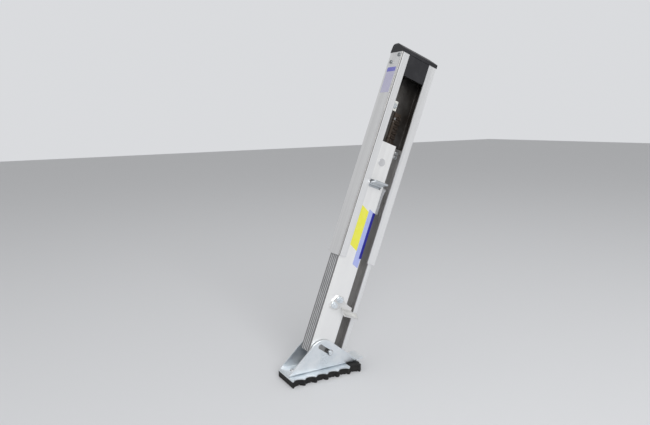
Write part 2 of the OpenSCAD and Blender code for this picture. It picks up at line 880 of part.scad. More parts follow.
// Steel U bracket: base plate with a tail, two ears with a two-lobed slot in each
module foot_bracket() {
    wall = bracket_wall;
    color(zinc)
        at_pivot()
            difference() {
                union() {
                    intersection() {
                        along_y(ear_front, ear_rear)
                            difference() {
                                union() {
                                    round_rect([-ear_out, plate_low], [ear_out, plate_low + 20], wall + 1);
                                    rect([-ear_out, plate_low + 10], [ear_out, 40]);
                                }
                                round_rect([-ear_in, plate_top], [ear_in, plate_top + 20], 1);
                                rect([-ear_in, plate_top + 10], [ear_in, 41]);
                            }
                        along_x(-ear_out - cut, ear_out + cut)
                            bracket_side();
                    }
                    along_x(-ear_in, ear_in)
                        polygon([[ear_rear - 0.5, plate_low], [ear_rear + 1, plate_low],
                                 [ear_rear + tail_length, plate_low + tail_rise],
                                 [ear_rear + tail_length, plate_top + tail_rise],
                                 [ear_rear + 0.8, plate_top], [ear_rear - 0.5, plate_top]]);
                }
                rotate([-slot_angle, 0, 0]) {
                    for (far = [0, slot_travel])
                        translate([0, -far, 0])
                            rod_x(slot_lobe_r, -ear_out - cut, ear_out + cut);
                    block([-ear_out - cut, -slot_travel, -slot_neck / 2],
                          [ear_out + cut, 0, slot_neck / 2]);
                }
                for (y = rivet_ys)
                    translate([0, y, plate_low - cut])
                        cylinder(r = 2.5 + gap, h = wall + 2 * cut);
            }
}

// Steel plate bonded to the pad's top, with the pad's notches, short of its rear end
module pad_plate() {
    color(zinc)
        at_pivot()
            difference() {
                translate([0, 0, pad_top])
                    linear_extrude(pad_plate_wall)
                        difference() {
                            round_rect([pad_far, pad_front], [pad_near, pad_plate_rear], 3);
                            edge_notches();
                        }
                for (y = rivet_ys)
                    translate([0, y, pad_top - cut])
                        cylinder(r = 2.5 + gap, h = pad_plate_wall + 2 * cut);
            }
}

// Notches along the outer edge of the pad and its plate
module edge_notches() {
    first = pad_front + 0.52 * notch_pitch;
    for (i = [0 : floor((pad_rear - first - notch_r) / notch_pitch) + 1])
        translate([pad_near + notch_r - notch_depth, first + i * notch_pitch])
            circle(r = notch_r);
}

// Rubber pad: notched outer edge and rear end, cross grooves in the sole, a step for the plate
module foot_pad() {
    end_r = 7;
    color(rubber)
        at_pivot()
            difference() {
                translate([0, 0, sole])
                    linear_extrude(pad_height + pad_plate_wall)
                        difference() {
                            rect([pad_far, pad_front], [pad_near, pad_rear]);
                            edge_notches();
                            for (i = [0 : 3])
                                translate([pad_far + 7.5 + 15 * i, pad_rear + end_r - 2.5])
                                    circle(r = end_r);
                        }
                block([pad_far - cut, pad_front - cut, pad_top],
                      [pad_near + cut, pad_plate_rear + 0.2, plate_low + cut]);
                for (y = [pad_front + 14 : 12 : pad_rear - 10])
                    block([pad_far - cut, y, sole - cut], [pad_near + cut, y + 3, sole + 2]);
                for (y = rivet_ys)
                    translate([0, y, pad_top - 7])
                        cylinder(r = 2.5 + gap, h = 7 + pad_plate_wall + cut);
            }
}

module pad_rivets() {
    color(steel)
        at_pivot()
            for (y = rivet_ys)
                translate([0, y, 0]) {
                    translate([0, 0, pad_top - 6.5])
                        cylinder(r = 2.5, h = bracket_wall + pad_plate_wall + 6.5);
                    translate([0, 0, plate_top])
                        cylinder(r1 = 4.6, r2 = 3.2, h = 1.8);
                }
}

channel();
end_cap();
cap_screws();
rack();
rack_rivets();
rail_bolts();
clamp_plates();
mouth_guides();
stop_lug();
lug_rivets();
leg();
leg_guides();
stop_block();
stop_screws();
detent_spring();
detent_rivet();
bottom_plug();
pivot_sleeve();
stirrup();
stirrup_bolts();
stirrup_washers();
stirrup_nuts();
lock_shaft();
lock_lever();
lock_pawl();
roll_pins();
shaft_clips();
pivot_pin();
pivot_clip();
pivot_washers();
foot_bracket();
pad_plate();
foot_pad();
pad_rivets();
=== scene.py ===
"""Finishes, decals and studio of the ladder leveller.

A channel is bolted to a ladder rail, a ribbed leg slides in it, a spring-held lever locks the leg to
a toothed rack, and a swivel foot with a rubber pad stands on the ground. The solids come from the
frame; this file gives each its finish and adds the decals, the floor, the light and the camera.
"""

from math import cos, radians, sin

import bpy
from bpy.props import FloatProperty, FloatVectorProperty, PointerProperty
from bpy.types import Operator, Panel, PropertyGroup
from mathutils import Euler, Matrix, Vector


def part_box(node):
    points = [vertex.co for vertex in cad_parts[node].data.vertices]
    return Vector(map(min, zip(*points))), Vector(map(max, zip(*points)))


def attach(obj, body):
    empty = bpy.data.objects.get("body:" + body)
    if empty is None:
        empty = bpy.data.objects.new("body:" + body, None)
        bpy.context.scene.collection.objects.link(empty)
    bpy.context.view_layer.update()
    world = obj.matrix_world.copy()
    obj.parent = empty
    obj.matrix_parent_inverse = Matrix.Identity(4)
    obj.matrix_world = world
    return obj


bl_info = {
    "name": "Ladder Leveller",
    "version": (1, 0, 0),
    "blender": (4, 5, 0),
    "location": "3D View > Sidebar > Leveller",
    "description": "Finishes, decals and studio of a ladder leveller",
    "category": "Object",
}

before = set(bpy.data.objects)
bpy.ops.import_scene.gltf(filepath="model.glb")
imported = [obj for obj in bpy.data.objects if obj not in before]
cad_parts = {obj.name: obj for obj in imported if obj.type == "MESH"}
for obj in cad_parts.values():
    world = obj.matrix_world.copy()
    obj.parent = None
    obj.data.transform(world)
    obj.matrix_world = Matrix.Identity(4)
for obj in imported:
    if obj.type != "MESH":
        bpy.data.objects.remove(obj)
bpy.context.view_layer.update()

# The leveller leans back on the rail by this angle, and its own frame has this place in the row.
LEAN = radians(21.5)
UNIT_SHIFT = Vector((0.0, 0.002, -0.24515))

# Faces that the decals lie on, in the leveller's own frame, in metres.
LEG_FACE_X = 0.0345
FLANGE_Y = -0.042

# Where the leg's flat outer face ends, and the radius of the round edge beyond it.
LEG_FLAT_Y = 0.0087
LEG_EDGE_R = 0.003
# How many times the film that runs over that edge is cut along its width.
WRAP_CUTS = 15

# Places of the decals: left edge and middle heights on the leg, near edge and top on the flange,
# and the gaps between neighbouring films.
DECAL_LEFT_Y = -0.0255
YELLOW_Z = 0.0595
PALE_Z = 0.0420
STRIPE_Z = 0.0488
BAND_GAP = 0.0003
LABEL_NEAR_X = 0.0058
LABEL_TOP_Z = 0.3622
LABEL_GAP = 0.0002

# Zones of the extrusions whose base colour is painted darker as shade, or lighter as lit on the
# leg's outer face. Their Y and Z are counted from the row's origin, turned upright, so they differ from
# the decals' by UNIT_SHIFT.
CHANNEL_HOLLOW = (("X", 0.0028, 0.0356), ("Y", -0.0372, 0.0412))
CORNER_GROOVE = (("X", 0.0360, 0.0379), ("Y", -0.03795, -0.03665))
CORNER_EDGE = (("X", 0.0367, 0.0382), ("Y", -0.0402, -0.03795))
LEG_RIBS = (("X", 0.0030, 0.0338), ("Y", -0.0400, -0.03525))
LEG_RECESS = (("X", 0.0118, 0.0316), ("Y", 0.0134, 0.0371))
LEG_FACE = (("X", 0.0340, 0.0350), ("Y", -0.0400, 0.0130))
# A round spot of painted shade on the leg's outer face behind the foot's slot, and its radius.
SLOT_SHADE = (LEG_FACE_X, -0.0125, -0.4157)
SLOT_SHADE_R = 0.0135

# Studio: the floor's width, the point that the lamps face, the backdrop's colour, and the place and
# angles of the camera that fits the photograph.
FLOOR_WIDTH = 16.0
LIT_POINT = (0.02, -0.05, -0.15)
BACKDROP = (0.70, 0.71, 0.73, 1.0)
CAMERA_PLACE = Vector((0.9558, -0.652664, 0.031168))
CAMERA_YAW = radians(61.42)
CAMERA_PITCH = radians(8.92)
CAMERA_ROLL = radians(1.22)
SENSOR_WIDTH = 36.0


def srgb(red, green, blue):
    """A colour given as 0 to 255 values, as Blender's scene-linear colour."""
    shares = [v / 255.0 for v in (red, green, blue)]
    return tuple(v / 12.92 if v <= 0.04045 else ((v + 0.055) / 1.055) ** 2.4 for v in shares)


def dimmed(tone, factor):
    """A colour made darker."""
    return [v * factor for v in tone]


# ---------------------------------------------------------------- settings


def colour(name, description, default):
    """A colour setting."""
    return FloatVectorProperty(name=name, description=description, default=default,
                               subtype="COLOR", size=3, min=0.0, max=1.0)


def length(name, description, default, low=0.0, high=1.0):
    """A length setting, in metres."""
    return FloatProperty(name=name, description=description, default=default, min=low, max=high,
                         subtype="DISTANCE", unit="LENGTH", precision=5)


def share(name, description, default):
    """A setting between 0 and 1."""
    return FloatProperty(name=name, description=description, default=default, min=0.0, max=1.0,
                         subtype="FACTOR")


class LevellerFinishes(PropertyGroup):
    """Colours and surface of the materials."""

    aluminium: colour("Extruded aluminium", "Bright mill finish of the channel and the leg",
                      (0.86, 0.865, 0.875))
    aluminium_dull: colour("Dull aluminium", "Weathered streaks on the extrusions",
                           (0.70, 0.705, 0.72))
    # Painted light: the leg's outer face is made lighter than the rest of the extrusion.
    aluminium_lit_face: colour("Lit face", "Outer face of the leg, painted lighter as lit",
                             (0.965, 0.965, 0.96))
    # Painted shade: darkens the leg's ribbed front side and a round spot behind the foot's slot.
    aluminium_side_shade: colour("Side shade", "Ribbed front side of the leg",
                            (0.120, 0.120, 0.124))
    # Painted shade: darkens the recess beside the leg's outer face and the channel's rounded corner
    # edge.
    aluminium_recess_shade: colour("Recess shade", "Recess beside the leg's outer face",
                             (0.150, 0.135, 0.120))
    # Painted shade: darkens the channel's hollow and its corner groove.
    aluminium_hollow_shade: colour("Hollow shade", "Inside of the channel",
                            (0.055, 0.047, 0.040))
    # The rack's dark brown is partly grease and partly painted shade.
    rack_grey: colour("Rack", "Toothed rack, greased and painted dark as shade", (0.115, 0.090, 0.072))
    zinc: colour("Zinc plating", "Bluish plating of the foot and the fasteners",
                 (0.90, 0.935, 0.965))
    zinc_dark: colour("Zinc shadow", "Darker clouds in the plating", (0.73, 0.79, 0.84))
    stirrup_zinc: colour("Stirrup plating", "Neutral plating of the stirrup", (0.86, 0.86, 0.85))
    steel: colour("Plain steel", "Shafts, springs, clips and rivets", (0.56, 0.57, 0.59))
    plastic: colour("Black plastic", "Moulded cap, plug and stop", (0.022, 0.022, 0.025))
    nylon: colour("Nylon", "Guides and load plates", (0.82, 0.82, 0.78))
    # Painted shade: the nylon washers behind the foot's slots are made nearly black.
    nylon_shaded: colour("Shaded nylon", "Spacer washers behind the foot's slots",
                        (0.060, 0.058, 0.056))
    rubber: colour("Rubber", "Pad under the foot", (0.014, 0.014, 0.015))
    rubber_dust: colour("Dust", "Dry dust caught on the rubber", (0.055, 0.052, 0.048))
    extrusion_gloss: share("Extrusion roughness", "Mean roughness of the extrusions", 0.42)
    zinc_gloss: share("Zinc roughness", "Mean roughness of the plating", 0.34)


class LevellerDecals(PropertyGroup):
    """Sizes and colours of the plain decals."""

    film: length("Film thickness", "Thickness of the decal film", 0.00012, 0.00005, 0.0005)
    corner: length("Corner radius", "Radius of the decals' corners", 0.0006, 0.0001, 0.003)
    slant: length("Slant", "How much lower the leg decal's inner edge sits", 0.0102, 0.0, 0.02)
    yellow_width: length("Yellow width", "Width of the yellow band on the leg", 0.0208, 0.005, 0.03)
    yellow_length: length("Yellow length", "Length of the yellow band", 0.0760, 0.02, 0.12)
    pale_width: length("Pale width", "Width of the pale band on the leg", 0.0130, 0.005, 0.02)
    pale_length: length("Pale length", "Length of the pale band", 0.1065, 0.02, 0.14)
    stripe_flat: length("Stripe on the face", "Width of the dark stripe before the leg's round edge",
                        0.0038, 0.0005, 0.006)
    stripe_round: length("Stripe on the edge", "How far the dark stripe runs over the round edge",
                         0.0026, 0.0005, 0.004)
    stripe_length: length("Stripe length", "Length of the dark stripe", 0.0890, 0.02, 0.12)
    label_width: length("Label width", "Width of the label on the channel's flange", 0.0270, 0.01, 0.032)
    label_length: length("Label length", "Length of the label", 0.0495, 0.02, 0.12)
    header_length: length("Header length", "Length of the label's dark header", 0.0082, 0.003, 0.02)
    yellow: colour("Yellow", "Yellow band", srgb(226, 224, 72))
    pale: colour("Pale blue", "Pale band beside it", srgb(162, 172, 224))
    stripe: colour("Dark blue", "Stripe along the pale band", srgb(4, 2, 138))
    panel: colour("Label", "Lower part of the label", srgb(186, 184, 208))
    header: colour("Label header", "Upper part of the label", srgb(112, 112, 196))


class LevellerStudio(PropertyGroup):
    """Floor, light and camera."""

    floor: colour("Floor", "Pale paper floor", (0.66, 0.67, 0.69))
    sky: share("Sky light", "Strength of the even light from all sides", 0.56)
    key: FloatProperty(name="Key lamp", description="Power of the large lamp on the outer side",
                       default=33.0, min=0.0, max=200.0, subtype="POWER", unit="POWER")
    fill: FloatProperty(name="Fill lamp", description="Power of the lamp in front",
                        default=4.0, min=0.0, max=200.0, subtype="POWER", unit="POWER")
    top: FloatProperty(name="Top lamp", description="Power of the lamp overhead",
                       default=8.0, min=0.0, max=200.0, subtype="POWER", unit="POWER")
    focal: FloatProperty(name="Focal length", description="Focal length on a 36 mm sensor, in mm",
                         default=33.06, min=10.0, max=200.0)


# ---------------------------------------------------------------- material parts


def begin(name):
    """A material with a Principled shader: (material, node tree, shader)."""
    material = bpy.data.materials.new(name)
    material.use_nodes = True
    tree = material.node_tree
    tree.nodes.clear()
    output = tree.nodes.new("ShaderNodeOutputMaterial")
    shader = tree.nodes.new("ShaderNodeBsdfPrincipled")
    tree.links.new(shader.outputs["BSDF"], output.inputs["Surface"])
    return material, tree, shader


def spread(tree, turn=(0.0, 0.0, 0.0), scale=(1.0, 1.0, 1.0)):
    """Object coordinates, turned and then stretched."""
    place = tree.nodes.new("ShaderNodeTexCoord").outputs["Object"]
    turned = tree.nodes.new("ShaderNodeMapping")
    turned.inputs["Rotation"].default_value = turn
    tree.links.new(place, turned.inputs["Vector"])
    stretched = tree.nodes.new("ShaderNodeMapping")
    stretched.inputs["Scale"].default_value = scale
    tree.links.new(turned.outputs["Vector"], stretched.inputs["Vector"])
    return stretched.outputs["Vector"]


def noise(tree, vector, scale, detail=3.0, rough=0.5):
    """Noise between 0 and 1."""
    node = tree.nodes.new("ShaderNodeTexNoise")
    node.inputs["Scale"].default_value = scale
    node.inputs["Detail"].default_value = detail
    node.inputs["Roughness"].default_value = rough
    tree.links.new(vector, node.inputs["Vector"])
    return node.outputs["Fac"]


def cells(tree, vector, scale):
    """A grey for each cell of a crystal pattern."""
    node = tree.nodes.new("ShaderNodeTexVoronoi")
    node.inputs["Scale"].default_value = scale
    tree.links.new(vector, node.inputs["Vector"])
    grey = tree.nodes.new("ShaderNodeSeparateColor")
    tree.links.new(node.outputs["Color"], grey.inputs["Color"])
    return grey.outputs["Red"]


def between(tree, value, low, high, start=0.0, end=1.0):
    """value from start..end mapped to low..high."""
    node = tree.nodes.new("ShaderNodeMapRange")
    node.inputs["From Min"].default_value = start
    node.inputs["From Max"].default_value = end
    node.inputs["To Min"].default_value = low
    node.inputs["To Max"].default_value = high
    tree.links.new(value, node.inputs["Value"])
    return node.outputs["Result"]


def mixed(tree, share_of, first, second):
    """Two colours mixed. Each is a socket or three numbers."""
    node = tree.nodes.new("ShaderNodeMix")
    node.data_type = "RGBA"
    # A colour mix uses inputs 0, 6 and 7 and output 2; the others belong to numbers and vectors.
    for socket, value in ((node.inputs[0], share_of), (node.inputs[6], first),
                          (node.inputs[7], second)):
        if isinstance(value, bpy.types.NodeSocket):
            tree.links.new(value, socket)
        elif isinstance(value, (int, float)):
            socket.default_value = value
        else:
            socket.default_value = (*value, 1.0)
    return node.outputs[2]


def sums(tree, operation, first, second):
    """A Math node's answer."""
    node = tree.nodes.new("ShaderNodeMath")
    node.operation = operation
    for socket, value in zip(node.inputs, (first, second)):
        if isinstance(value, bpy.types.NodeSocket):
            tree.links.new(value, socket)
        else:
            socket.default_value = value
    return node.outputs["Value"]


def relief(tree, shader, height, strength, depth, under=None):
    """Bump from a height, over another bump if there is one."""
    node = tree.nodes.new("ShaderNodeBump")
    node.inputs["Strength"].default_value = strength
    node.inputs["Distance"].default_value = depth
    tree.links.new(height, node.inputs["Height"])
    if under is not None:
        tree.links.new(under, node.inputs["Normal"])
    tree.links.new(node.outputs["Normal"], shader.inputs["Normal"])
    return node.outputs["Normal"]


def give(obj, material):
    """Replaces an object's materials with one."""
    obj.data.materials.clear()
    obj.data.materials.append(material)


def give_nodes(names, material):
    """The same finish on several pieces of the frame."""
    for name in names:
        give(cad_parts[name], material)


# ---------------------------------------------------------------- materials


def within(tree, axes, limits):
    """1 where each coordinate lies between its limits, else 0. limits: (axis name, low, high)."""
    inside = 1.0
    for axis, low, high in limits:
        over = sums(tree, "GREATER_THAN", axes.outputs[axis], low)
        under = sums(tree, "LESS_THAN", axes.outputs[axis], high)
        inside = sums(tree, "MULTIPLY", inside, sums(tree, "MULTIPLY", over, under))
    return inside


def drawn_aluminium(name, bright, dull, gloss, tone_patches=(), shade_spots=()):
    """Extruded aluminium: die lines along the length, soft mottling, fine handling scratches.

    The zone list holds (share, colour, limits) for faces whose base colour is painted darker as
    shade or lighter as lit, and the spot list holds (share, colour, centre, radius) for round spots of
    painted shade. Both are turned upright and counted from the row's origin.
    """
    material, tree, shader = begin(name)
    lines = noise(tree, spread(tree, (LEAN, 0.0, 0.0), (520.0, 520.0, 3.0)), 1.0, 4.0, 0.62)
    wide_lines = noise(tree, spread(tree, (LEAN, 0.0, 0.0), (95.0, 95.0, 1.6)), 1.0, 2.0)
    cloud = noise(tree, spread(tree), 26.0, 4.0, 0.6)
    nicks = noise(tree, spread(tree, (LEAN + 0.9, 0.3, 0.5), (900.0, 60.0, 700.0)), 1.0, 2.0)
    nick_mask = between(tree, nicks, 0.0, 1.0, 0.66, 0.70)
    wear = sums(tree, "MULTIPLY", lines, 0.55)
    wear = sums(tree, "ADD", wear, sums(tree, "MULTIPLY", wide_lines, 0.45))
    base = mixed(tree, between(tree, wear, 0.45, 1.0, 0.36, 0.62), dull, bright)
    base = mixed(tree, between(tree, cloud, 0.0, 0.12, 0.35, 0.75), base, dull)
    base = mixed(tree, sums(tree, "MULTIPLY", nick_mask, 0.35), base, (0.95, 0.95, 0.96))
    # Faces whose base colour is painted darker as shade or lighter as lit.
    if tone_patches:
        across = tree.nodes.new("ShaderNodeSeparateXYZ")
        tree.links.new(spread(tree, (LEAN, 0.0, 0.0)), across.inputs["Vector"])
        for share_of, tone, limits in tone_patches:
            patchy = between(tree, cloud, share_of * 0.86, share_of, 0.3, 0.7)
            side = sums(tree, "MULTIPLY", within(tree, across, limits), patchy)
            base = mixed(tree, side, base, tone)
    # Round spots of painted shade.
    for share_of, tone, centre, radius in shade_spots:
        away = tree.nodes.new("ShaderNodeVectorMath")
        away.operation = "DISTANCE"
        tree.links.new(spread(tree, (LEAN, 0.0, 0.0)), away.inputs[0])
        away.inputs[1].default_value = centre
        spot = between(tree, away.outputs["Value"], share_of, 0.0, radius * 0.65, radius)
        base = mixed(tree, spot, base, tone)
    tree.links.new(base, shader.inputs["Base Color"])
    rough = between(tree, wear, gloss - 0.10, gloss + 0.12, 0.3, 0.7)
    tree.links.new(sums(tree, "SUBTRACT", rough, sums(tree, "MULTIPLY", nick_mask, 0.08)),
                   shader.inputs["Roughness"])
    shader.inputs["Metallic"].default_value = 0.82
    relief(tree, shader, lines, 0.10, 0.0002)
    return material


def zinc_plate(name, bright, dark, gloss, thread=0.0):
    """Bright zinc plating: bluish clouds, fine crystal, rubbed marks, and a thread where one is cut."""
    material, tree, shader = begin(name)
    place = spread(tree)
    cloud = noise(tree, place, 34.0, 5.0, 0.6)
    crystal = cells(tree, place, 620.0)
    rubs = noise(tree, spread(tree, (0.4, 0.2, 0.7), (480.0, 36.0, 480.0)), 1.0, 3.0)
    rub_mask = between(tree, rubs, 0.0, 1.0, 0.60, 0.70)
    base = mixed(tree, between(tree, cloud, 0.0, 1.0, 0.34, 0.66), dark, bright)
    base = mixed(tree, between(tree, crystal, 0.0, 0.10), base, (0.93, 0.95, 0.97))
    base = mixed(tree, sums(tree, "MULTIPLY", rub_mask, 0.25), base, (0.9, 0.92, 0.94))
    tree.links.new(base, shader.inputs["Base Color"])
    rough = between(tree, cloud, gloss - 0.08, gloss + 0.12, 0.3, 0.7)
    tree.links.new(sums(tree, "ADD", rough, between(tree, crystal, -0.03, 0.03)),
                   shader.inputs["Roughness"])
    shader.inputs["Metallic"].default_value = 0.9
    under = relief(tree, shader, noise(tree, place, 900.0, 2.0), 0.06, 0.0002)
    if thread:
        wave = tree.nodes.new("ShaderNodeTexWave")
        wave.wave_type = "BANDS"
        wave.bands_direction = "X"
        # At scale 1 the bands of a wave texture lie 2 pi / 20 apart; thread is the pitch wanted.
        wave.inputs["Scale"].default_value = 6.2832 / (20.0 * thread)
        tree.links.new(place, wave.inputs["Vector"])
        relief(tree, shader, wave.outputs["Fac"], 0.9, 0.0004, under)
    return material


def turned_steel(name, tone):
    """Plain steel: fine tool marks round its length, light oil stains."""
    material, tree, shader = begin(name)
    marks = noise(tree, spread(tree, (LEAN, 0.0, 0.0), (60.0, 1500.0, 900.0)), 1.0, 3.0, 0.6)
    tone_patches = noise(tree, spread(tree), 60.0, 4.0, 0.6)
    base = mixed(tree, between(tree, marks, 0.0, 1.0, 0.35, 0.65),
                 dimmed(tone, 0.78), [min(1.0, v * 1.2) for v in tone])
    base = mixed(tree, between(tree, tone_patches, 0.0, 0.5, 0.5, 0.75), base, (0.24, 0.22, 0.20))
    tree.links.new(base, shader.inputs["Base Color"])
    tree.links.new(between(tree, marks, 0.26, 0.46, 0.3, 0.7), shader.inputs["Roughness"])
    shader.inputs["Metallic"].default_value = 1.0
    relief(tree, shader, marks, 0.12, 0.0002)
    return material


def grained_plastic(name, tone, pale_rubs, rough_low, rough_high, grain):
    """Moulded plastic: a fine spark grain, soft rubs and a little dust."""
    material, tree, shader = begin(name)
    place = spread(tree)
    dust = noise(tree, place, 45.0, 5.0, 0.65)
    fine = noise(tree, place, grain, 2.0, 0.5)
    base = mixed(tree, between(tree, dust, 0.0, 0.5, 0.48, 0.80), tone, pale_rubs)
    base = mixed(tree, between(tree, fine, 0.0, 0.16, 0.4, 0.7), base, pale_rubs)
    tree.links.new(base, shader.inputs["Base Color"])
    tree.links.new(between(tree, dust, rough_low, rough_high, 0.3, 0.7), shader.inputs["Roughness"])
    shader.inputs["Specular IOR Level"].default_value = 0.25
    relief(tree, shader, fine, 0.22, 0.0003)
    return material


def film_of(name, tone, rubbed=0.20):
    """Printed vinyl film: faint dots of the print, rubbed patches, soft gloss."""
    material, tree, shader = begin(name)
    place = spread(tree)
    patch = noise(tree, place, 70.0, 4.0, 0.6)
    dots = noise(tree, place, 2600.0, 1.0)
    base = mixed(tree, between(tree, patch, 0.0, rubbed, 0.45, 0.75), tone,
                 [0.5 * v + 0.42 for v in tone])
    base = mixed(tree, between(tree, dots, 0.0, 0.10, 0.45, 0.70), base, dimmed(tone, 0.7))
    tree.links.new(base, shader.inputs["Base Color"])
    tree.links.new(between(tree, patch, 0.30, 0.44, 0.3, 0.7), shader.inputs["Roughness"])
    relief(tree, shader, patch, 0.05, 0.0002)
    return material


# ---------------------------------------------------------------- modelling


def deselect():
    """Nothing selected, in object mode."""
    if bpy.context.object is not None and bpy.context.object.mode != "OBJECT":
        bpy.ops.object.mode_set(mode="OBJECT")
    bpy.ops.object.select_all(action="DESELECT")


def pick_points(obj, test):
    """Edit mode with the vertices selected that pass the test."""
    bpy.ops.object.mode_set(mode="EDIT")
    bpy.ops.mesh.select_mode(type="VERT")
    bpy.ops.mesh.select_all(action="DESELECT")
    bpy.ops.object.mode_set(mode="OBJECT")
    for point in obj.data.vertices:
        point.select = test(point.co)
    bpy.ops.object.mode_set(mode="EDIT")


def pick_edges(obj, axis):
    """Edit mode with the edges selected that run along an axis."""
    bpy.ops.object.mode_set(mode="EDIT")
    bpy.ops.mesh.select_mode(type="EDGE")
    bpy.ops.mesh.select_all(action="DESELECT")
    bpy.ops.object.mode_set(mode="OBJECT")
    points = obj.data.vertices
    others = [k for k in range(3) if k != axis]
    for edge in obj.data.edges:
        gap = points[edge.vertices[0]].co - points[edge.vertices[1]].co
        edge.select = all(abs(gap[k]) < 1e-7 for k in others)
    bpy.ops.object.mode_set(mode="EDIT")


def lean_on_rail(obj):
    """Puts a piece drawn in the leveller's own frame in its leaning place, within its mesh."""
    bpy.ops.object.mode_set(mode="OBJECT")
    turn = Euler((-LEAN, 0.0, 0.0))
    obj.rotation_euler = turn
    obj.location = turn.to_matrix() @ UNIT_SHIFT
    bpy.ops.object.transform_apply(location=True, rotation=True, scale=True)


def wrap_round_edge(plate):
    """Lays the part of a film past the leg's flat face over its round edge, point by point."""
    pick_edges(plate, 1)
    bpy.ops.mesh.subdivide(number_cuts=WRAP_CUTS)
    bpy.ops.object.mode_set(mode="OBJECT")
    for point in plate.data.vertices:
        past = point.co.y - LEG_FLAT_Y
        if past > 0.0:
            reach = LEG_EDGE_R + point.co.x - LEG_FACE_X
            point.co.x = LEG_FACE_X - LEG_EDGE_R + reach * cos(past / LEG_EDGE_R)
            point.co.y = LEG_FLAT_Y + reach * sin(past / LEG_EDGE_R)
    bpy.ops.object.mode_set(mode="EDIT")


def film_plate(name, low, high, slant, corner, thin_axis, material, body, wrap=False):
    """A thin decal between two corners of the leveller's own frame, its ends slanted.

    Its corners are round, or with wrap they are square and the film runs over the leg's edge.
    """
    deselect()
    low, high = Vector(low), Vector(high)
    bpy.ops.mesh.primitive_cube_add(size=1.0, location=(low + high) / 2, scale=high - low)
    plate = bpy.context.object
    plate.name = plate.data.name = name
    bpy.ops.object.transform_apply(location=True, rotation=True, scale=True)
    if slant:
        middle = (low.y + high.y) / 2
        pick_points(plate, lambda co: co.y < middle)
        bpy.ops.transform.translate(value=(0.0, 0.0, slant / 2))
        pick_points(plate, lambda co: co.y > middle)
        bpy.ops.transform.translate(value=(0.0, 0.0, -slant / 2))
    if wrap:
        wrap_round_edge(plate)
    else:
        pick_edges(plate, thin_axis)
        bpy.ops.mesh.bevel(offset=corner, offset_type="OFFSET", segments=4, affect="EDGES")
    bpy.ops.mesh.select_all(action="SELECT")
    bpy.ops.mesh.normals_make_consistent(inside=False)
    lean_on_rail(plate)
    give(plate, material)
    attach(plate, body)
    deselect()


# ---------------------------------------------------------------- operators


class LEVELLER_OT_extrusions(Operator):
    """Drawn aluminium finish of the channel and the sliding leg"""

    bl_idname = "leveller.extrusions"
    bl_label = "Channel and Leg"

    def execute(self, context):
        f = context.scene.leveller_finishes
        # Painted shade: the channel's hollow, its corner groove and its rounded corner edge are
        # darkened.
        channel_shade = ((1.0, f.aluminium_hollow_shade, CHANNEL_HOLLOW),
                          (0.90, f.aluminium_hollow_shade, CORNER_GROOVE),
                          (0.62, f.aluminium_recess_shade, CORNER_EDGE))
        give_nodes(["channel"], drawn_aluminium("channel_aluminium", f.aluminium, f.aluminium_dull,
                                                f.extrusion_gloss, channel_shade))
        # On the leg, painted shade darkens the ribbed side and the recess, painted light brightens the
        # outer face, and a round spot of painted shade lies behind the foot's slot.
        leg_light_and_shade = ((0.80, f.aluminium_side_shade, LEG_RIBS),
                      (0.62, f.aluminium_recess_shade, LEG_RECESS),
                      (0.90, f.aluminium_lit_face, LEG_FACE))
        slot_shade = (0.75, f.aluminium_side_shade, SLOT_SHADE, SLOT_SHADE_R)
        give_nodes(["leg"], drawn_aluminium("leg_aluminium", f.aluminium, f.aluminium_dull,
                                            f.extrusion_gloss, leg_light_and_shade, (slot_shade,)))
        return {"FINISHED"}


class LEVELLER_OT_rack(Operator):
    """Greased finish of the toothed rack, darkened further as painted shade, and the stop lug beside it
    """

    bl_idname = "leveller.rack"
    bl_label = "Rack and Stop Lug"

    def execute(self, context):
        f = context.scene.leveller_finishes
        give_nodes(["rack"], drawn_aluminium("rack_grease_and_shade", f.rack_grey, dimmed(f.rack_grey, 0.55), 0.5))
        give_nodes(["stop_lug"], drawn_aluminium("lug_aluminium", f.aluminium_dull,
                                                 dimmed(f.aluminium_dull, 0.75), 0.46))
        return {"FINISHED"}


class LEVELLER_OT_plastics(Operator):
    """Black moulded cap, stop block and plug, white nylon guides and plates, and washers painted dark as
    shade
    """

    bl_idname = "leveller.plastics"
    bl_label = "Plastic Pieces"

    def execute(self, context):
        f = context.scene.leveller_finishes
        black = grained_plastic("moulded_black", f.plastic, (0.046, 0.046, 0.050), 0.36, 0.50, 1500.0)
        white = grained_plastic("nylon", f.nylon, (0.66, 0.65, 0.60), 0.42, 0.58, 1100.0)
        give_nodes(["end_cap", "stop_block", "bottom_plug"], black)
        give_nodes(["clamp_plates", "mouth_guides", "leg_guides"], white)
        # Painted shade: the washers take a dark nylon.
        give_nodes(["pivot_washers"], grained_plastic("shaded_nylon", f.nylon_shaded,
                                                      (0.16, 0.155, 0.15), 0.46, 0.62, 1100.0))
        return {"FINISHED"}


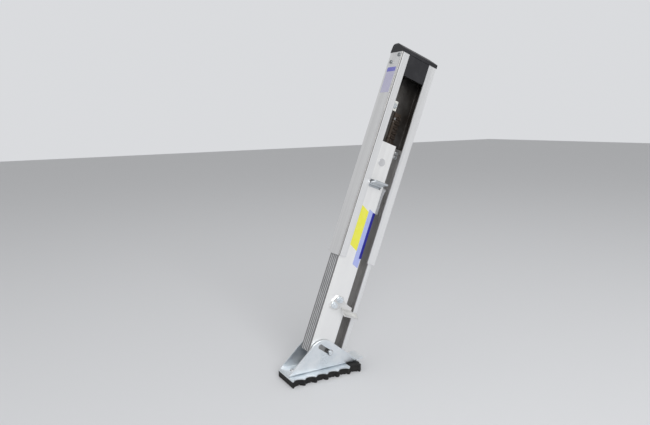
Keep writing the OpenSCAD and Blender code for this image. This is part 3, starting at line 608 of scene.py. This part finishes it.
class LEVELLER_OT_fasteners(Operator):
    """Zinc plated bolts, screws and nuts, and plain steel rivets, pins and clips"""

    bl_idname = "leveller.fasteners"
    bl_label = "Fasteners"

    def execute(self, context):
        f = context.scene.leveller_finishes
        plated = zinc_plate("plated_fastener", f.zinc, f.zinc_dark, 0.30)
        threaded = zinc_plate("plated_thread", f.zinc, f.zinc_dark, 0.30, thread=0.001)
        steel = turned_steel("rivet_steel", f.steel)
        give_nodes(["cap_screws"], zinc_plate("dulled_screw", dimmed(f.zinc, 0.40),
                                              dimmed(f.zinc_dark, 0.28), 0.42))
        give_nodes(["stop_screws", "stirrup_washers", "stirrup_nuts", "pivot_pin"], plated)
        give_nodes(["rail_bolts", "stirrup_bolts"], threaded)
        give_nodes(["rack_rivets", "lug_rivets", "pad_rivets", "shaft_clips", "pivot_clip",
                    "roll_pins"], steel)
        give_nodes(["detent_rivet"], drawn_aluminium("rivet_aluminium", f.aluminium_dull,
                                                     dimmed(f.aluminium_dull, 0.8), 0.44))
        return {"FINISHED"}


class LEVELLER_OT_lock(Operator):
    """Lever, shaft, pawl and spring leaf of the lock, and the foot's pivot sleeve"""

    bl_idname = "leveller.lock"
    bl_label = "Lock"

    def execute(self, context):
        f = context.scene.leveller_finishes
        # Painted shade: the lever's plating is the zinc made darker.
        give_nodes(["lock_lever"], zinc_plate("lever_shaded_plating", dimmed(f.zinc, 0.80),
                                              dimmed(f.zinc_dark, 0.72), f.zinc_gloss))
        give_nodes(["lock_shaft", "lock_pawl", "detent_spring", "pivot_sleeve"],
                   turned_steel("lock_steel", f.steel))
        return {"FINISHED"}


class LEVELLER_OT_foot(Operator):
    """Plated foot bracket, stirrup and pad plate, and the rubber pad"""

    bl_idname = "leveller.foot"
    bl_label = "Foot and Stirrup"

    def execute(self, context):
        f = context.scene.leveller_finishes
        give_nodes(["foot_bracket"], zinc_plate("bracket_plating", f.zinc, f.zinc_dark, f.zinc_gloss))
        give_nodes(["stirrup"], zinc_plate("stirrup_plating", f.stirrup_zinc,
                                           dimmed(f.stirrup_zinc, 0.82), f.zinc_gloss))
        give_nodes(["pad_plate"], zinc_plate("pad_plate_plating", dimmed(f.zinc, 0.92),
                                             dimmed(f.zinc_dark, 0.85), 0.42))
        give_nodes(["foot_pad"], grained_plastic("pad_rubber", f.rubber, f.rubber_dust,
                                                 0.62, 0.82, 700.0))
        return {"FINISHED"}


class LEVELLER_OT_leg_decal(Operator):
    """Plain yellow and pale blue decal on the leg's outer face, with a dark stripe"""

    bl_idname = "leveller.leg_decal"
    bl_label = "Leg Decal"

    def execute(self, context):
        d = context.scene.leveller_decals
        x = LEG_FACE_X
        split = DECAL_LEFT_Y + d.yellow_width
        film_plate("decal_yellow", (x, DECAL_LEFT_Y, YELLOW_Z - d.yellow_length / 2),
                   (x + d.film, split, YELLOW_Z + d.yellow_length / 2), d.slant, d.corner, 0,
                   film_of("yellow_film", d.yellow), "leg")
        pale_left = split + BAND_GAP
        film_plate("decal_pale", (x, pale_left, PALE_Z - d.pale_length / 2),
                   (x + d.film, pale_left + d.pale_width, PALE_Z + d.pale_length / 2),
                   d.slant / 2, d.corner, 0, film_of("pale_film", d.pale), "leg")
        film_plate("decal_stripe",
                   (x + d.film, LEG_FLAT_Y - d.stripe_flat, STRIPE_Z - d.stripe_length / 2),
                   (x + 2 * d.film, LEG_FLAT_Y + d.stripe_round, STRIPE_Z + d.stripe_length / 2),
                   0.0, 0.0, 0, film_of("stripe_film", d.stripe, 0.03), "leg", True)
        return {"FINISHED"}


class LEVELLER_OT_channel_label(Operator):
    """Plain label on the channel's front flange: a darker header over a pale panel"""

    bl_idname = "leveller.channel_label"
    bl_label = "Channel Label"

    def execute(self, context):
        d = context.scene.leveller_decals
        near, top = LABEL_NEAR_X, LABEL_TOP_Z
        far = near + d.label_width
        y = FLANGE_Y
        film_plate("label_header", (near, y - d.film, top - d.header_length), (far, y, top),
                   0.0, d.corner, 1, film_of("header_film", d.header), "housing")
        film_plate("label_panel", (near, y - d.film, top - d.label_length),
                   (far, y, top - d.header_length - LABEL_GAP), 0.0, d.corner, 1,
                   film_of("panel_film", d.panel), "housing")
        return {"FINISHED"}


def area_lamp(name, place, size, power):
    """A soft square white lamp at a place, facing the leveller."""
    lamp = bpy.data.lights.new(name, "AREA")
    lamp.shape = "SQUARE"
    lamp.size = size
    lamp.energy = power
    obj = bpy.data.objects.new(name, lamp)
    bpy.context.scene.collection.objects.link(obj)
    obj.location = place
    obj.rotation_euler = (Vector(LIT_POINT) - Vector(place)).to_track_quat("-Z", "Y").to_euler()
    return obj


def studio_floor(height, tone):
    """A wide floor of pale paper at a height."""
    deselect()
    bpy.ops.mesh.primitive_plane_add(size=1.0, location=(0.0, 0.0, height))
    floor = bpy.context.object
    floor.name = "studio_floor"
    floor.scale = (FLOOR_WIDTH, FLOOR_WIDTH, 1.0)
    bpy.ops.object.transform_apply(location=True, rotation=True, scale=True)
    material, tree, shader = begin("floor_paper")
    grain = noise(tree, spread(tree), 3.0, 3.0)
    tree.links.new(mixed(tree, between(tree, grain, 0.0, 0.10), tone, dimmed(tone, 0.96)),
                   shader.inputs["Base Color"])
    shader.inputs["Roughness"].default_value = 0.9
    give(floor, material)
    return floor


def studio_air(scene, strength):
    """Even white light from all sides, seen by the camera as a plain backdrop."""
    world = bpy.data.worlds.new("studio_air")
    scene.world = world
    world.use_nodes = True
    tree = world.node_tree
    tree.nodes.clear()
    output = tree.nodes.new("ShaderNodeOutputWorld")
    lit = tree.nodes.new("ShaderNodeBackground")
    lit.inputs["Color"].default_value = (1.0, 1.0, 1.0, 1.0)
    lit.inputs["Strength"].default_value = strength
    seen = tree.nodes.new("ShaderNodeBackground")
    seen.inputs["Color"].default_value = BACKDROP
    seen.inputs["Strength"].default_value = 1.0
    choose = tree.nodes.new("ShaderNodeMixShader")
    path = tree.nodes.new("ShaderNodeLightPath")
    tree.links.new(path.outputs["Is Camera Ray"], choose.inputs["Fac"])
    tree.links.new(lit.outputs["Background"], choose.inputs[1])
    tree.links.new(seen.outputs["Background"], choose.inputs[2])
    tree.links.new(choose.outputs["Shader"], output.inputs["Surface"])


def photo_camera(scene, focal):
    """The camera at the photograph's viewing angle."""
    yaw, pitch, roll = CAMERA_YAW, CAMERA_PITCH, CAMERA_ROLL
    ahead = Vector((-sin(yaw) * cos(pitch), cos(yaw) * cos(pitch), -sin(pitch)))
    right = Vector((cos(yaw), sin(yaw), 0.0))
    down = ahead.cross(right)
    right, down = (right * cos(roll) + down * sin(roll), -right * sin(roll) + down * cos(roll))
    view = Matrix(((right.x, -down.x, -ahead.x), (right.y, -down.y, -ahead.y),
                   (right.z, -down.z, -ahead.z))).to_4x4()
    view.translation = CAMERA_PLACE
    lens = bpy.data.cameras.new("photo_camera")
    lens.lens = focal
    lens.sensor_width = SENSOR_WIDTH
    lens.clip_start = 0.01
    camera = bpy.data.objects.new("photo_camera", lens)
    scene.collection.objects.link(camera)
    camera.matrix_world = view
    scene.camera = camera


class LEVELLER_OT_stage(Operator):
    """Pale floor before a plain pale backdrop, soft lamps, and the camera"""

    bl_idname = "leveller.stage"
    bl_label = "Studio and Camera"

    def execute(self, context):
        s = context.scene.leveller_studio
        floor_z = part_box("foot_pad")[0].z
        stage = [studio_floor(floor_z, s.floor),
                 area_lamp("key_lamp", (2.0, -0.35, 1.15), 1.5, s.key),
                 area_lamp("fill_lamp", (0.3, -2.4, 0.7), 1.4, s.fill),
                 area_lamp("top_lamp", (-0.2, 0.4, 2.4), 1.6, s.top)]
        studio_air(context.scene, s.sky)
        photo_camera(context.scene, s.focal)
        context.scene.view_settings.view_transform = "Standard"
        return {"FINISHED"}


class LEVELLER_PT_panel(Panel):
    """Lists the steps that finish the leveller"""

    bl_idname = "LEVELLER_PT_panel"
    bl_label = "Ladder Leveller"
    bl_space_type = "VIEW_3D"
    bl_region_type = "UI"
    bl_category = "Leveller"

    def draw(self, context):
        column = self.layout.column(align=True)
        for step in STEPS:
            column.operator(step.bl_idname)
        for label, group in (("Finishes", context.scene.leveller_finishes),
                             ("Decals", context.scene.leveller_decals),
                             ("Studio", context.scene.leveller_studio)):
            box = self.layout.box()
            box.label(text=label)
            for name in group.__annotations__:
                box.prop(group, name)


STEPS = (
    LEVELLER_OT_extrusions,
    LEVELLER_OT_rack,
    LEVELLER_OT_plastics,
    LEVELLER_OT_fasteners,
    LEVELLER_OT_lock,
    LEVELLER_OT_foot,
    LEVELLER_OT_leg_decal,
    LEVELLER_OT_channel_label,
    LEVELLER_OT_stage,
)
GROUPS = (LevellerFinishes, LevellerDecals, LevellerStudio)


def register():
    """Adds the settings, the steps and the panel."""
    for item in (*GROUPS, *STEPS, LEVELLER_PT_panel):
        bpy.utils.register_class(item)
    bpy.types.Scene.leveller_finishes = PointerProperty(type=LevellerFinishes)
    bpy.types.Scene.leveller_decals = PointerProperty(type=LevellerDecals)
    bpy.types.Scene.leveller_studio = PointerProperty(type=LevellerStudio)


def unregister():
    """Takes them out again."""
    del bpy.types.Scene.leveller_studio
    del bpy.types.Scene.leveller_decals
    del bpy.types.Scene.leveller_finishes
    for item in reversed((*GROUPS, *STEPS, LEVELLER_PT_panel)):
        bpy.utils.unregister_class(item)


def main():
    """Finishes the leveller step by step."""
    register()
    bpy.ops.leveller.extrusions()
    bpy.ops.leveller.rack()
    bpy.ops.leveller.plastics()
    bpy.ops.leveller.fasteners()
    bpy.ops.leveller.lock()
    bpy.ops.leveller.foot()
    bpy.ops.leveller.leg_decal()
    bpy.ops.leveller.channel_label()
    bpy.ops.leveller.stage()


if __name__ == "__main__":
    main()
